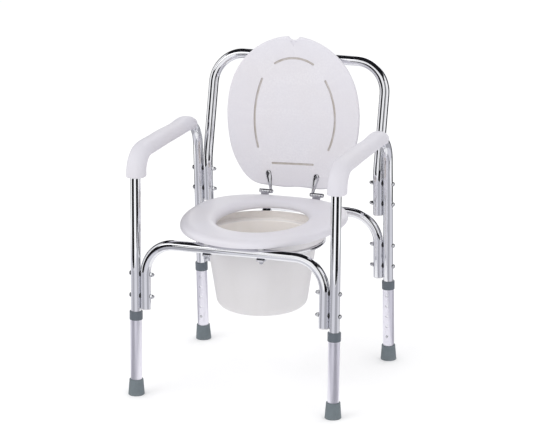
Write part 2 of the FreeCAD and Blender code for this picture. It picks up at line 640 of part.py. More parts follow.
rear_y = abs(bar_y)
pins = []
for side, sx in SIDES.items():
    m = lambda sh: sh if sx > 0 else sh.mirror(V(0, 0, 0), V(1, 0, 0))
    tx = S["tab_x"]
    # post: knuckle, pillar down to a saddle on the rear bar, stud through bar and tab
    prof = Part.Face(
        Part.makePolygon([V(0, HY - 3.2, HZ - 3.0), V(0, HY + 3.8, HZ - 3.0), V(0, rear_y + 5.5, head_z + 6.0), V(0, rear_y + 6.0, head_z - 4.0), V(0, rear_y - 6.0, head_z - 4.0), V(0, rear_y - 5.5, head_z + 6.0), V(0, HY - 3.2, HZ - 3.0)])
    ).extrude(V(8.0, 0, 0))
    prof.translate(V(tx - 4.0, 0, 0))
    saddle = Part.makeCylinder(8.5, 5.4, V(tx, rear_y, head_z - 3.4))
    post = prof.fuse(saddle).cut(Part.makeCylinder(S["tube_r"] + 0.02, 60, V(tx - 30, rear_y, bar_h), V(1, 0, 0)))
    post = post.fuse(Part.makeCylinder(KR, 8.0, V(tx - 4.0, HY, HZ), V(1, 0, 0)))
    post = post.fuse(Part.makeCylinder(S["bolt_r"], head_z + 2.0 - tab_top + S["tab_t"] + 8.0, V(tx, rear_y, tab_top - S["tab_t"] - 8.0)))
    post = post.cut(Part.makeCylinder(PR, 8.0, V(tx - 4.0, HY, HZ), V(1, 0, 0))).removeSplitter()
    computed(f"hinge_post_{side}", m(post))
    # pin with a domed head outside and a riveted end inside
    pin = Part.makeCylinder(PR, 89.0 - 52.2, V(52.2, HY, HZ), V(1, 0, 0))
    dome = Part.makeCylinder(KR, 6.4, V(81.6, HY, HZ), V(1, 0, 0))
    dome = dome.makeFillet(3.0, [e for e in dome.Edges if e.BoundBox.XMin > 87.5])
    dome2 = Part.makeCylinder(KR - 0.6, 1.6, V(50.6, HY, HZ), V(1, 0, 0))
    dome2 = dome2.makeFillet(1.2, [e for e in dome2.Edges if e.BoundBox.XMax < 50.7])
    pins.append(m(pin.common(Part.makeBox(36.0, 20, 20, V(52.2, HY - 10, HZ - 10))).fuse(dome).fuse(dome2).removeSplitter()))
    # seat strap: two knuckles, a leg down behind the seat and a foot under it
    y_s, y_b = S["seat_back"] + 1.0, S["seat_back"] + 3.4
    z_u, z_t = S["seat_lo"] - 2.5, S["seat_lo"] - 0.05
    foot_l = 44.0
    leaf = Part.Face(
        Part.makePolygon([V(0, HY, HZ - 0.4), V(0, HY, HZ - 4.6), V(0, y_b, HZ - 9.0), V(0, y_b, z_u), V(0, y_b - foot_l, z_u), V(0, y_b - foot_l, z_t), V(0, y_s, z_t), V(0, y_s, HZ - 0.4), V(0, HY, HZ - 0.4)])
    ).extrude(V(20.6, 0, 0))
    leaf.translate(V(60.0, 0, 0))
    strap = leaf.fuse(Part.makeCylinder(KR, 20.6, V(60.0, HY, HZ), V(1, 0, 0)))
    strap = strap.cut(Part.makeCylinder(PR + RUN, 20.6, V(60.0, HY, HZ), V(1, 0, 0)))
    # room for the post between the knuckles
    strap = strap.cut(Part.makeBox(9.0, 40, 18.0, V(tx - 4.5, y_b - 0.9, HZ - 12.0)))
    strap = strap.cut(Part.makeCylinder(KR + 0.6, 9.0, V(tx - 4.5, HY, HZ), V(1, 0, 0)))
    for k in (16.0, 34.0):
        strap = strap.cut(Part.makeCylinder(2.2, 10, V(tx + 0.3, y_b - k, z_u - 5)))
    computed(f"seat_strap_{side}", m(strap.removeSplitter()))
computed("hinge_pins", Part.makeCompound(pins))
seat_screws = []
for sx in (-1, 1):
    for k in (16.0, 34.0):
        y = S["seat_back"] + 3.4 - k
        z = S["seat_lo"] - 2.5
        sc = Part.makeCylinder(3.6, 1.7, V(sx * 70.3, y, z - 1.7)).fuse(Part.makeCylinder(2.0, 12.0, V(sx * 70.3, y, z)))
        seat_screws.append(sc.removeSplitter())
computed("seat_screws", Part.makeCompound(seat_screws))

# ---- seat
def seat_outline():
    w, f, r = S["seat_w"], S["seat_front"], S["seat_back"]
    pts = []
    for j in range(36):
        a = 2 * math.pi * j / 36
        cx, cy = math.cos(a), math.sin(a)
        n = 2.05 if cy < 0 else 2.6
        m = (abs(cx) ** n + abs(cy) ** n) ** (-1 / n)
        pts.append((w * m * cx, (f if cy < 0 else r) * m * cy))
    return pts


b = new_body("seat", (0, 0, S["seat_lo"]))
sk = sketch(b, "XY_Plane")
spline(sk, seat_outline())
pad(b, sk, "seat_t")
sk = sketch(b, "XY_Plane")
e = sk.addGeometry(Part.Ellipse(V(0, S["open_y"] + S["open_l"], 0), V(S["open_w"], S["open_y"], 0), V(0, S["open_y"], 0)), False)
pocket(b, sk, "seat_t+1", back=True)
top = lambda e: abs(e.BoundBox.ZMin - S["seat_t"]) < 1e-3 and abs(e.BoundBox.ZMax - S["seat_t"]) < 1e-3
low = lambda e: abs(e.BoundBox.ZMin) < 1e-3 and abs(e.BoundBox.ZMax) < 1e-3
wide = lambda e: e.BoundBox.XLength > 300
fillet(b, 10.0, lambda e: top(e) and wide(e))
fillet(b, 9.0, lambda e: top(e) and not wide(e))
fillet(b, 6.0, lambda e: low(e) and wide(e))
fillet(b, 4.0, lambda e: low(e) and not wide(e))
sk = sketch(b, "XY_Plane")
for sx in ("", "-"):
    for k in (16.0, 34.0):
        circle(sk, f"{sx}70.3", S["seat_back"] + 3.4 - k, 2.05)
pocket(b, sk, 12.2, back=True)

# ---- lid: drawn flat in its own plane, X across, Y away from the hinge, inner face towards +Z
LID = Rotation(V(1, 0, 0), 90.0 - S["lid_lean"])
b = new_body("lid", (0, HY, HZ), LID)
half = [(0, 14.5), (60, 14.5), (97, 18), (126, 35), (145.5, 60), (163.5, 97), (174.5, 142), (179.5, 200), (175, 252), (160.5, 300), (135, 341), (100, 373), (63, 393), (31, 402.5), (0, 405.5)]
# the far edge sits a few millimetres to the left of the hinges
lean = lambda q: (q[0] - 0.0085 * q[1] - 2.6 * min(1.0, q[1] / 100), q[1])
pts = [lean(q) for q in half + [(-x, y) for x, y in half[-2:0:-1]]]
sk = sketch(b, "XY_Plane", "-lid_gap-lid_t")
spline(sk, pts)
pad(b, sk, "lid_t")
zf, zb = -S["lid_gap"], -S["lid_gap"] - S["lid_t"]
# finger notch at the far edge
sk = sketch(b, "XY_Plane")
circle(sk, -6.0, 413.0, 17.0)
pocket(b, sk, "lid_gap+lid_t+1")
fillet(b, 3.0, lambda e: e.BoundBox.ZLength > 11 and abs(e.BoundBox.YMax - 403) < 4)
fillet(b, 4.0, lambda e: abs(e.BoundBox.ZMin - zf) < 1e-3 and abs(e.BoundBox.ZMax - zf) < 1e-3)
fillet(b, 5.0, lambda e: abs(e.BoundBox.ZMin - zb) < 1e-3 and abs(e.BoundBox.ZMax - zb) < 1e-3)
# four shallow grooves in the inner face
def groove(p0, pm, p1, w):
    arc = Part.Arc(V(*p0, 0), V(*pm, 0), V(*p1, 0)).toShape().Curve
    c, r = arc.Center, arc.Radius
    a0 = math.atan2(p0[1] - c.y, p0[0] - c.x)
    a1 = math.atan2(p1[1] - c.y, p1[0] - c.x)
    am = math.atan2(pm[1] - c.y, pm[0] - c.x)
    wrap = lambda a: a + 2 * math.pi * round((am - a) / (2 * math.pi))
    a0, a1 = wrap(a0), wrap(a1)
    P = lambda rr, a: V(c.x + rr * math.cos(a), c.y + rr * math.sin(a), 0)
    h = w / 2
    mid = (a0 + a1) / 2
    out = [Part.Arc(P(r + h, a0), P(r + h, mid), P(r + h, a1)), Part.Arc(P(r - h, a1), P(r - h, mid), P(r - h, a0))]
    for a, (p, q) in ((a1, (P(r + h, a1), P(r - h, a1))), (a0, (P(r - h, a0), P(r + h, a0)))):
        s = 1 if (a > mid) else -1
        bulge = P(r, a) + V(-math.sin(a), math.cos(a), 0) * (h * s)
        out.append(Part.Arc(p, bulge, q))
    return [out[0], out[2], out[1], out[3]]


sk = sketch(b, "XY_Plane", "-lid_gap")
for shape in (
    groove((-55, 333), (-4, 349.5), (48, 336.5), 5.5),
    groove((-89, 291), (-107, 203), (-95.5, 113), 5.5),
    groove((82, 296), (110.5, 206), (96, 119), 5.5),
    groove((-54.5, 73.6), (0, 75.9), (54.5, 77.6), 5.5),
):
    for g_ in shape:
        sk.addGeometry(g_, False)
pocket(b, sk, 2.0)
# shallow V under the notch
sk = sketch(b, "XY_Plane", "-lid_gap")
outline(sk, [(-14.9, 393.5), (-5.9, 379.5), (3.1, 393.5)])
pocket(b, sk, 1.2)
# screw holes for the straps
sk = sketch(b, "XY_Plane", "-lid_gap")
for sx in ("", "-"):
    circle(sk, f"{sx}65.2", 46.0, 1.85)
pocket(b, sk, 9.0)

# lid straps: a knuckle and a teardrop leaf, the leaf leaning outwards
lid_screws = []
for side, sx in SIDES.items():
    m = lambda sh: sh if sx > 0 else sh.mirror(V(0, 0, 0), V(1, 0, 0))
    z1, z0 = -S["lid_gap"] + 0.02, -S["lid_gap"] + 2.42
    a, c = V(56.3, 0, 0), V(65.2, 46.0, 0)
    d = (c - a).normalize()
    nrm = V(-d.y, d.x, 0)
    r0, r1 = 3.3, 8.6
    leaf = Part.Face(
        Part.Wire(
            [
                Part.LineSegment(a - nrm * r0, c - d * 6 - nrm * r1 * 0.9).toShape(),
                Part.Arc(c - d * 6 - nrm * r1 * 0.9, c + d * r1, c - d * 6 + nrm * r1 * 0.9).toShape(),
                Part.LineSegment(c - d * 6 + nrm * r1 * 0.9, a + nrm * r0).toShape(),
                Part.LineSegment(a + nrm * r0, a - nrm * r0).toShape(),
            ]
        )
    ).extrude(V(0, 0, z0 - z1))
    leaf.translate(V(0, 0, z1))
    leaf = leaf.common(Part.makeBox(60, 80, 20, V(40, 2.0, -10)))
    kn = Part.makeCylinder(KR, 6.6, V(53.0, 0, 0), V(1, 0, 0))
    strap = leaf.fuse(kn).cut(Part.makeCylinder(PR + RUN, 6.6, V(53.0, 0, 0), V(1, 0, 0)))
    # clear of the next knuckle
    strap = strap.cut(Part.makeCylinder(KR + 0.4, 24, V(59.6, 0, 0), V(1, 0, 0)))
    cone = Part.makeCone(2.0, 3.9, 1.7, V(c.x, c.y, z0 - 1.7))
    strap = strap.cut(Part.makeCylinder(2.0, 10, V(c.x, c.y, -8))).cut(cone)
    computed(f"lid_strap_{side}", m(strap.removeSplitter()), (0, HY, HZ), LID)
    sc = Part.makeCone(1.9, 3.8, 1.68, V(c.x, c.y, z0 - 1.68)).fuse(Part.makeCylinder(1.8, 10.0, V(c.x, c.y, z0 - 1.68 - 8.3)).common(Part.makeCylinder(3, 8.31, V(c.x, c.y, z0 - 1.68 - 8.3))))
    lid_screws.append(m(sc.removeSplitter()))
computed("lid_screws", Part.makeCompound(lid_screws), (0, HY, HZ), LID)

# ---- pail: a turned shell with a flange that rests on the holder tabs and an upstanding lip
b = new_body("pail", (0, S["pail_y"], 0))
turned(
    b,
    [
        (0, "pail_lo"),
        ("pail_r0", "pail_lo"),
        ("pail_r1", "pail_seat"),
        ("pail_rim", "pail_seat"),
        ("pail_rim", "pail_top"),
        ("pail_rim-pail_t", "pail_top"),
        ("pail_rim-pail_t", "pail_seat+3"),
        ("pail_r1+3.4", "pail_seat+3"),
        ("pail_r1-1", "pail_seat+1.4"),
        ("pail_r1-pail_t-0.3", "pail_seat-2"),
        ("pail_r0-pail_t", "pail_lo+pail_t"),
        (0, "pail_lo+pail_t"),
    ],
)
ring_edge = lambda r, z: lambda e: abs(e.BoundBox.XMax - r) < 0.02 and abs(e.BoundBox.ZMax - z) < 0.02 and e.BoundBox.ZLength < 0.01
fillet(b, 25.0, ring_edge(S["pail_r0"], S["pail_lo"]))
fillet(b, 22.4, ring_edge(S["pail_r0"] - S["pail_t"], S["pail_lo"] + S["pail_t"]))
fillet(b, 3.0, ring_edge(S["pail_rim"], S["pail_seat"]))
fillet(b, 1.1, ring_edge(S["pail_rim"], S["pail_top"]))
fillet(b, 1.1, ring_edge(S["pail_rim"] - S["pail_t"], S["pail_top"]))

doc.recompute()
bad = [o.Name for o in doc.Objects if "Invalid" in o.State or "Error" in o.State]
if bad:
    raise RuntimeError("objects in error: " + ", ".join(bad))
os.makedirs("parts", exist_ok=True)
for o in PARTS:
    if o.Shape.isNull() or not o.Shape.isValid():
        raise RuntimeError(f"{o.Label}: shape is null or not valid")
    o.Shape.exportStep(f"parts/{o.Label}.step")
    bb = o.Shape.optimalBoundingBox(False)
    print(f"{o.Label:28s} solids {len(o.Shape.Solids)} vol {o.Shape.Volume / 1000:9.2f} cm3  x {bb.XMin:7.1f} {bb.XMax:7.1f}  y {bb.YMin:7.1f} {bb.YMax:7.1f}  z {bb.ZMin:6.1f} {bb.ZMax:6.1f}")
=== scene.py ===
import bpy
import bmesh
import json
import math
from mathutils import Matrix, Vector


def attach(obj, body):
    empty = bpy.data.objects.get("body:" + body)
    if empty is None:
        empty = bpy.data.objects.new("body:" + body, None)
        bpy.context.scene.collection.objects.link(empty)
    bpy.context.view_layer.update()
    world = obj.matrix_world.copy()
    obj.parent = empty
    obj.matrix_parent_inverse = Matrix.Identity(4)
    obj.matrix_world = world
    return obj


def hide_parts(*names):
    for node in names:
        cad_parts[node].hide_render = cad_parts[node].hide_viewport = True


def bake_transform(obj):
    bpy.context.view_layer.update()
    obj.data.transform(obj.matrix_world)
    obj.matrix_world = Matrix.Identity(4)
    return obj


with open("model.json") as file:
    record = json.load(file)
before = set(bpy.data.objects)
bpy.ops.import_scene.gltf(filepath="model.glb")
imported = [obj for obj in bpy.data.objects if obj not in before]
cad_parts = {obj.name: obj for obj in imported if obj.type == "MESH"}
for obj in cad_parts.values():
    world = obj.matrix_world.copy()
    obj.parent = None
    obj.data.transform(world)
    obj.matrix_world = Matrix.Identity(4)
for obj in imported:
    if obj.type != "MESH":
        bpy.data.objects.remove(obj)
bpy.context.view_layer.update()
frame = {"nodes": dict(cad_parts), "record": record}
nodes = frame["nodes"]
YO = -0.02165  # the chair's own middle stands this far in front of the origin
LEGS = {"front_left": (-1, -1), "front_right": (-1, 1), "rear_left": (1, -1), "rear_right": (1, 1)}
RAKE = math.radians(2.2906)


# ------------------------------------------------------------------ materials
class Mat:
    """A small builder for one Principled material with procedural detail in object space."""

    def __init__(self, name, color, metallic=0.0, roughness=0.4, **fixed):
        self.m = bpy.data.materials.new(name)
        self.m.use_nodes = True
        self.t = self.m.node_tree
        self.b = self.t.nodes["Principled BSDF"]
        self.b.inputs["Base Color"].default_value = (*color, 1)
        self.b.inputs["Metallic"].default_value = metallic
        self.b.inputs["Roughness"].default_value = roughness
        for k, v in fixed.items():
            self.b.inputs[k.replace("_", " ")].default_value = v
        self.co = self.add("ShaderNodeTexCoord").outputs["Object"]
        self.h = None

    def add(self, kind, **p):
        n = self.t.nodes.new(kind)
        for k, v in p.items():
            setattr(n, k, v)
        return n

    def to(self, sock, v):
        if hasattr(v, "is_output") or hasattr(v, "links"):
            self.t.links.new(v, sock)
        else:
            sock.default_value = v

    def mapped(self, scale, rot=(0, 0, 0), loc=(0, 0, 0)):
        n = self.add("ShaderNodeMapping")
        self.to(n.inputs["Vector"], self.co)
        n.inputs["Scale"].default_value = scale
        n.inputs["Rotation"].default_value = rot
        n.inputs["Location"].default_value = loc
        return n.outputs["Vector"]

    def noise(self, scale, detail=3.0, rough=0.55, vec=None, dist=0.0):
        n = self.add("ShaderNodeTexNoise")
        self.to(n.inputs["Vector"], vec if vec is not None else self.co)
        n.inputs["Scale"].default_value = scale
        n.inputs["Detail"].default_value = detail
        n.inputs["Roughness"].default_value = rough
        n.inputs["Distortion"].default_value = dist
        return n.outputs["Fac"]

    def voronoi(self, scale, feature="F1", vec=None):
        n = self.add("ShaderNodeTexVoronoi", feature=feature)
        self.to(n.inputs["Vector"], vec if vec is not None else self.co)
        n.inputs["Scale"].default_value = scale
        return n.outputs["Distance"]

    def math(self, op, a, b=0.0, c=0.0, clamp=False):
        n = self.add("ShaderNodeMath", operation=op, use_clamp=clamp)
        for i, v in enumerate((a, b, c)):
            self.to(n.inputs[i], v)
        return n.outputs[0]

    def span(self, v, a, b, c, d, smooth=False):
        n = self.add("ShaderNodeMapRange", interpolation_type="SMOOTHSTEP" if smooth else "LINEAR")
        for i, x in enumerate((v, a, b, c, d)):
            self.to(n.inputs[i], x)
        return n.outputs[0]

    def mix(self, fac, a, b):
        n = self.add("ShaderNodeMix", data_type="RGBA")
        self.to(n.inputs[0], fac)
        for i, v in ((6, a), (7, b)):
            self.to(n.inputs[i], (*v, 1) if isinstance(v, tuple) and len(v) == 3 else v)
        return n.outputs[2]

    def bump(self, height, strength, distance):
        n = self.add("ShaderNodeBump")
        self.to(n.inputs["Height"], height)
        n.inputs["Strength"].default_value = strength
        n.inputs["Distance"].default_value = distance
        if self.h is not None:
            self.t.links.new(self.h, n.inputs["Normal"])
        self.h = n.outputs["Normal"]
        self.t.links.new(self.h, self.b.inputs["Normal"])

    def xyz(self, vec=None):
        n = self.add("ShaderNodeSeparateXYZ")
        self.to(n.inputs[0], vec if vec is not None else self.co)
        return n.outputs


def edge_wear(m, colour_in, worn, lo=0.515, hi=0.56, amount=0.5):
    """A little lighter where an edge is rubbed, broken up by noise."""
    g = m.add("ShaderNodeNewGeometry").outputs["Pointiness"]
    e = m.span(g, lo, hi, 0.0, 1.0)
    e = m.math("MULTIPLY", e, m.span(m.noise(220, 4), 0.42, 0.62, 0.2, 1.0))
    e = m.math("MULTIPLY", e, amount, clamp=True)
    return m.mix(e, colour_in, worn)


def plated(name, color, rough, drawn=(1, 1, 1), hair=0.5):
    """Bright plated metal: faint drawing lines, a slight waviness and light handling haze."""
    m = Mat(name, color, 1.0, rough)
    haze = m.noise(9.0, 5, 0.6)
    fine = m.noise(90.0, 3, 0.6, m.mapped(drawn))
    hairs = m.noise(600.0, 2, 0.5, m.mapped(drawn))
    r = m.math("ADD", m.span(haze, 0.35, 0.7, rough * 0.7, rough * 1.7), m.span(fine, 0.3, 0.75, 0.0, rough * 0.6))
    m.to(m.b.inputs["Roughness"], r)
    dark = tuple(c * 0.93 for c in color)
    m.to(m.b.inputs["Base Color"], m.mix(m.span(haze, 0.4, 0.75, 0.0, 0.6), color, dark))
    m.bump(haze, 0.18, 0.0006)
    m.bump(hairs, 0.05 * hair, 0.0002)
    return m.m


def satin(name, color, rough, drawn):
    """Anodised tube: long extrusion lines, soft blotches, tiny pits and a few scuffs where the collar slides."""
    m = Mat(name, color, 1.0, rough)
    lines = m.noise(70.0, 4, 0.65, m.mapped(drawn))
    hairs = m.noise(420.0, 3, 0.6, m.mapped(drawn))
    blot = m.noise(14.0, 4)
    scuff = m.span(m.noise(46.0, 6, 0.7, m.mapped((3.0, 3.0, 0.35))), 0.62, 0.74, 0.0, 1.0)
    r = m.math("ADD", m.span(lines, 0.3, 0.7, rough * 0.8, rough * 1.2), m.math("MULTIPLY", scuff, 0.08))
    m.to(m.b.inputs["Roughness"], r)
    c = m.mix(m.span(lines, 0.25, 0.75, 0.0, 0.5), color, tuple(x * 0.86 for x in color))
    c = m.mix(m.span(blot, 0.4, 0.7, 0.0, 0.35), c, tuple(min(1, x * 1.08) for x in color))
    c = m.mix(m.math("MULTIPLY", scuff, 0.4), c, tuple(x * 0.74 for x in color))
    m.to(m.b.inputs["Base Color"], c)
    m.bump(lines, 0.12, 0.0004)
    m.bump(hairs, 0.10, 0.00015)
    return m.m


def moulded(name, color, rough, grain=1400.0, grain_h=0.05, wave=0.12, warm=None, wear=(1, 1, 1), spec=0.5, crevice_shade=None):
    """Injection-moulded plastic: fine spark-erosion grain, slow sink waviness, faint flow clouding and edge wear."""
    m = Mat(name, color, 0.0, rough, Specular_IOR_Level=spec)
    cloud = m.noise(7.0, 2, 0.5)
    warm = warm or tuple(c * k for c, k in zip(color, (0.985, 0.965, 0.93)))
    c = m.mix(m.span(cloud, 0.35, 0.72, 0.0, 0.55), color, warm)
    c = m.mix(m.span(m.noise(300.0, 3, 0.6), 0.3, 0.7, 0.0, 0.22), c, tuple(x * 0.93 for x in color))
    c = edge_wear(m, c, wear, amount=0.16)
    # optional painted shade laid over the colour, used for the lid's grooves
    if crevice_shade:
        c = crevice_shade(m, c)
    m.to(m.b.inputs["Base Color"], c)
    m.to(m.b.inputs["Roughness"], m.span(cloud, 0.2, 0.8, rough * 0.92, rough * 1.1, True))
    m.bump(m.noise(11.0, 2), wave, 0.0012)
    m.bump(m.noise(grain, 2, 0.5), grain_h, 0.0003)
    return m.m


WHITE = (0.695, 0.682, 0.735)
M = {}
M["frame_tube"] = plated("bright_plated_tube", (0.83, 0.835, 0.865), 0.022, (1.0, 1.0, 0.06))
M["frame_wire"] = plated("plated_rod", (0.80, 0.80, 0.82), 0.10, (1.0, 1.0, 1.0), 1.0)
M["hinge_metal"] = plated("polished_hinge", (0.62, 0.62, 0.65), 0.05, (0.3, 1.0, 1.0), 1.0)
M["fastener"] = plated("bright_zinc", (0.56, 0.565, 0.59), 0.06, (1.0, 1.0, 1.0), 1.5)
M["leg_tube"] = satin("satin_anodised_tube", (0.84, 0.825, 0.90), 0.31, (1.0, 1.0, 0.03))
M["spring_steel"] = satin("spring_steel", (0.45, 0.46, 0.48), 0.3, (1.0, 1.0, 0.2))
M["seat_plastic"] = moulded("seat_and_lid_moulding", WHITE, 0.30)
M["armrest"] = moulded("armrest_moulding", (0.672, 0.660, 0.715), 0.50, grain=800.0, grain_h=0.22, wave=0.16)
M["end_plug"] = moulded("end_plug_moulding", (0.66, 0.65, 0.68), 0.4)
M["bumper"] = moulded("bumper_moulding", (0.45, 0.45, 0.47), 0.55, grain=700.0, grain_h=0.2)
M["spacer"] = moulded("spacer_moulding", (0.030, 0.030, 0.034), 0.5, wear=(0.2, 0.2, 0.2))
M["grey_plastic"] = moulded("collar_moulding", (0.108, 0.128, 0.152), 0.36, grain=1100.0, grain_h=0.10, wear=(0.32, 0.35, 0.36))


def rubber():
    m = Mat("moulded_grey_rubber", (0.160, 0.190, 0.208), 0.0, 0.62, Specular_IOR_Level=0.35)
    mott = m.noise(60.0, 5, 0.65)
    dust = m.noise(180.0, 4, 0.6)
    z = m.xyz()[2]
    low = m.span(z, 0.0, 0.014, 1.0, 0.0, True)
    c = m.mix(m.span(mott, 0.35, 0.7, 0.0, 0.6), (0.160, 0.190, 0.208), (0.128, 0.153, 0.170))
    c = m.mix(m.math("MULTIPLY", m.span(dust, 0.45, 0.7, 0.0, 1.0), m.math("MULTIPLY", low, 0.45)), c, (0.27, 0.285, 0.29))
    c = edge_wear(m, c, (0.33, 0.36, 0.36), amount=0.35)
    m.to(m.b.inputs["Base Color"], c)
    m.to(m.b.inputs["Roughness"], m.span(dust, 0.3, 0.7, 0.52, 0.74))
    m.bump(m.noise(650.0, 3, 0.6), 0.22, 0.0004)
    m.bump(mott, 0.15, 0.0006)
    return m.m


M["grey_rubber"] = rubber()


def pail_stuff():
    """One moulding, whiter outside and creamier inside; the inside, lip and ledge included, is also painted far
    lighter, painted light lifting the shade under the seat.
    """
    m = Mat("pail_moulding", (0.70, 0.69, 0.70), 0.0, 0.33, Specular_IOR_Level=0.5)
    x, y, z = m.xyz()
    # how far a point is from the pail's axis, against the middle of the wall at that height
    yy = m.math("SUBTRACT", y, -0.018 + YO)
    r = m.math("SQRT", m.math("ADD", m.math("MULTIPLY", x, x), m.math("MULTIPLY", yy, yy)))
    wall = m.math("MULTIPLY_ADD", m.math("SUBTRACT", z, 0.197), 0.0275 / 0.1823, 0.1107)
    side = m.span(m.math("SUBTRACT", r, wall), -0.0009, 0.0009, 1.0, 0.0)
    # round the bottom corner the middle of the wall is an arc
    dr = m.math("MAXIMUM", m.math("SUBTRACT", r, 0.0905), 0.0)
    dz = m.math("MAXIMUM", m.math("SUBTRACT", 0.222, z), 0.0)
    corner = m.math("SQRT", m.math("ADD", m.math("MULTIPLY", dr, dr), m.math("MULTIPLY", dz, dz)))
    corner = m.span(corner, 0.0232, 0.0242, 1.0, 0.0)
    # inside the upstanding lip, down to the ledge, which gets the inside's painted light too
    lip = m.math("MULTIPLY", m.span(r, 0.1600, 0.1608, 1.0, 0.0), m.span(z, 0.3806, 0.3814, 0.0, 1.0))
    low = m.math("LESS_THAN", z, 0.222)
    inside = m.math("ADD", m.math("MULTIPLY", low, corner), m.math("MULTIPLY", m.math("SUBTRACT", 1.0, low), side))
    inside = m.math("MAXIMUM", inside, lip)
    cloud = m.noise(8.0, 4, 0.6, dist=0.5)
    streak = m.noise(26.0, 4, 0.6, m.mapped((1.0, 1.0, 0.12)))
    out_c = m.mix(m.span(cloud, 0.35, 0.7, 0.0, 0.6), (0.70, 0.685, 0.70), (0.67, 0.652, 0.66))
    # the inside's own cream tint plus painted light: far lighter than the outside to lift the shade in the pail
    in_c = m.mix(m.span(cloud, 0.35, 0.7, 0.0, 0.7), (0.935, 0.90, 0.875), (0.915, 0.872, 0.832))
    in_c = m.mix(m.math("MULTIPLY", m.span(z, 0.20, 0.29, 1.0, 0.0, True), 0.35), in_c, (0.90, 0.845, 0.785))
    c = m.mix(inside, out_c, in_c)
    c = m.mix(m.span(streak, 0.5, 0.75, 0.0, 0.12), c, (0.60, 0.58, 0.56))
    c = edge_wear(m, c, (0.95, 0.95, 0.95), amount=0.2)
    m.to(m.b.inputs["Base Color"], c)
    m.to(m.b.inputs["Roughness"], m.span(cloud, 0.3, 0.7, 0.28, 0.4))
    m.bump(m.noise(12.0, 2), 0.12, 0.0012)
    m.bump(m.noise(1200.0, 2), 0.05, 0.0003)
    return m.m


M["pail_plastic"] = pail_stuff()


def groove_painted_shade(m, c):
    """Painted warm shade lying in the four grooves of the lid's inner face, broken up by noise."""
    v = m.add("ShaderNodeMapping", vector_type="TEXTURE")
    m.to(v.inputs["Vector"], m.co)
    v.inputs["Location"].default_value = (0, 0.206 + YO, 0.431)
    v.inputs["Rotation"].default_value = (math.radians(85.0), 0, 0)
    x, y, z = m.xyz(v.outputs["Vector"])
    depth = m.span(z, -0.0040, -0.0032, 1.0, 0.0)
    depth = m.math("MULTIPLY", depth, m.math("GREATER_THAN", z, -0.0056))
    ex = m.math("DIVIDE", x, 0.150)
    ey = m.math("DIVIDE", m.math("SUBTRACT", y, 0.205), 0.174)
    rr = m.math("ADD", m.math("MULTIPLY", ex, ex), m.math("MULTIPLY", ey, ey))
    mask = m.math("MULTIPLY", depth, m.math("LESS_THAN", rr, 1.0))
    mask = m.math("MULTIPLY", mask, m.span(m.noise(60.0, 2), 0.3, 0.6, 0.55, 0.9))
    return m.mix(mask, c, (0.47, 0.425, 0.38))


# the lid is the seat's plastic painted 3 % lighter: painted light on its upright face
lid_m = moulded("lid_moulding", tuple(c * 1.03 for c in WHITE), 0.30, crevice_shade=groove_painted_shade)

slots = {s["node"]: s["material_slot"] for s in frame["record"]["subparts"]}
for name, o in nodes.items():
    mat = lid_m if name == "lid" else M[slots[name]]
    if not o.data.materials:
        o.data.materials.append(mat)
    for i in range(len(o.material_slots)):
        o.material_slots[i].material = mat


# ------------------------------------------------------------------ pieces
def piece(name, bm, body, slot, *stands_for, matrix=None, subdiv=1):
    bmesh.ops.recalc_face_normals(bm, faces=bm.faces)
    me = bpy.data.meshes.new(name)
    if matrix is not None:
        bm.transform(matrix)
    bm.to_mesh(me)
    bm.free()
    for f in me.polygons:
        f.use_smooth = True
    me.materials.append(M[slot])
    o = bpy.data.objects.new(name, me)
    bpy.context.scene.collection.objects.link(o)
    if subdiv:
        d = o.modifiers.new("subdivision", "SUBSURF")
        d.levels = d.render_levels = subdiv
    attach(o, body)
    if stands_for:
        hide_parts(*stands_for)
    return o


def loft(bm, rings, closed_rings=True, closed_loop=False, caps=False):
    """Quads between rows of points; every row has the same count."""
    rows = [[bm.verts.new(p) for p in r] for r in rings]
    n = len(rows[0])
    last = len(rows) if closed_loop else len(rows) - 1
    for i in range(last):
        a, b = rows[i], rows[(i + 1) % len(rows)]
        for j in range(n if closed_rings else n - 1):
            k = (j + 1) % n
            bm.faces.new((a[j], a[k], b[k], b[j]))
    if caps:
        bm.faces.new(rows[0])
        bm.faces.new(list(reversed(rows[-1])))
    return rows


def seat_ring():
    """The seat's crowned ring: rounded well over at both edges, highest along its middle."""

    def outer(a):
        cx, cy = math.cos(a), math.sin(a)
        n = 2.05 if cy < 0 else 2.6
        k = (abs(cx) ** n + abs(cy) ** n) ** (-1 / n)
        return Vector((0.203 * k * cx, (0.249 if cy < 0 else 0.196) * k * cy + YO, 0))

    def inner(a):
        return Vector((0.112 * math.cos(a), -0.0115 + 0.139 * math.sin(a) + YO, 0))

    prof = [
        ("o", 6.0, 408.4), ("o", 2.0, 408.9), ("o", 0.2, 411.3), ("o", 0.0, 415.4), ("o", 1.0, 419.8), ("o", 3.6, 423.8), ("o", 8.4, 427.0), ("o", 16.0, 429.0), ("o", 26.0, 429.9),
        ("m", 0.5, 430.0),
        ("i", 26.0, 429.6), ("i", 16.0, 428.2), ("i", 8.6, 425.6), ("i", 3.8, 422.0), ("i", 1.0, 417.8), ("i", 0.0, 413.6), ("i", 0.3, 410.6), ("i", 2.0, 408.9), ("i", 5.0, 408.4),
        ("m", 0.5, 408.4),
    ]
    N = 120
    rings = []
    for j in range(N):
        a = 2 * math.pi * j / N
        p, q = outer(a), inner(a)
        d = (q - p).normalized()
        w = (q - p).length
        row = []
        for kind, v, z in prof:
            t = v / 1000 if kind == "o" else w - v / 1000 if kind == "i" else w * v
            if kind != "m":
                t = min(max(t, 0.0), w)
            c = p + d * t
            row.append(Vector((c.x, c.y, z / 1000)))
        rings.append(row)
    bm = bmesh.new()
    loft(bm, rings, closed_rings=True, closed_loop=True)
    return piece("seat_ring", bm, "seat", "seat_plastic", "seat")


seat_ring()

LID_M = Matrix.Translation((0, 0.206 + YO, 0.431)) @ Matrix.Rotation(math.radians(85.0), 4, "X")


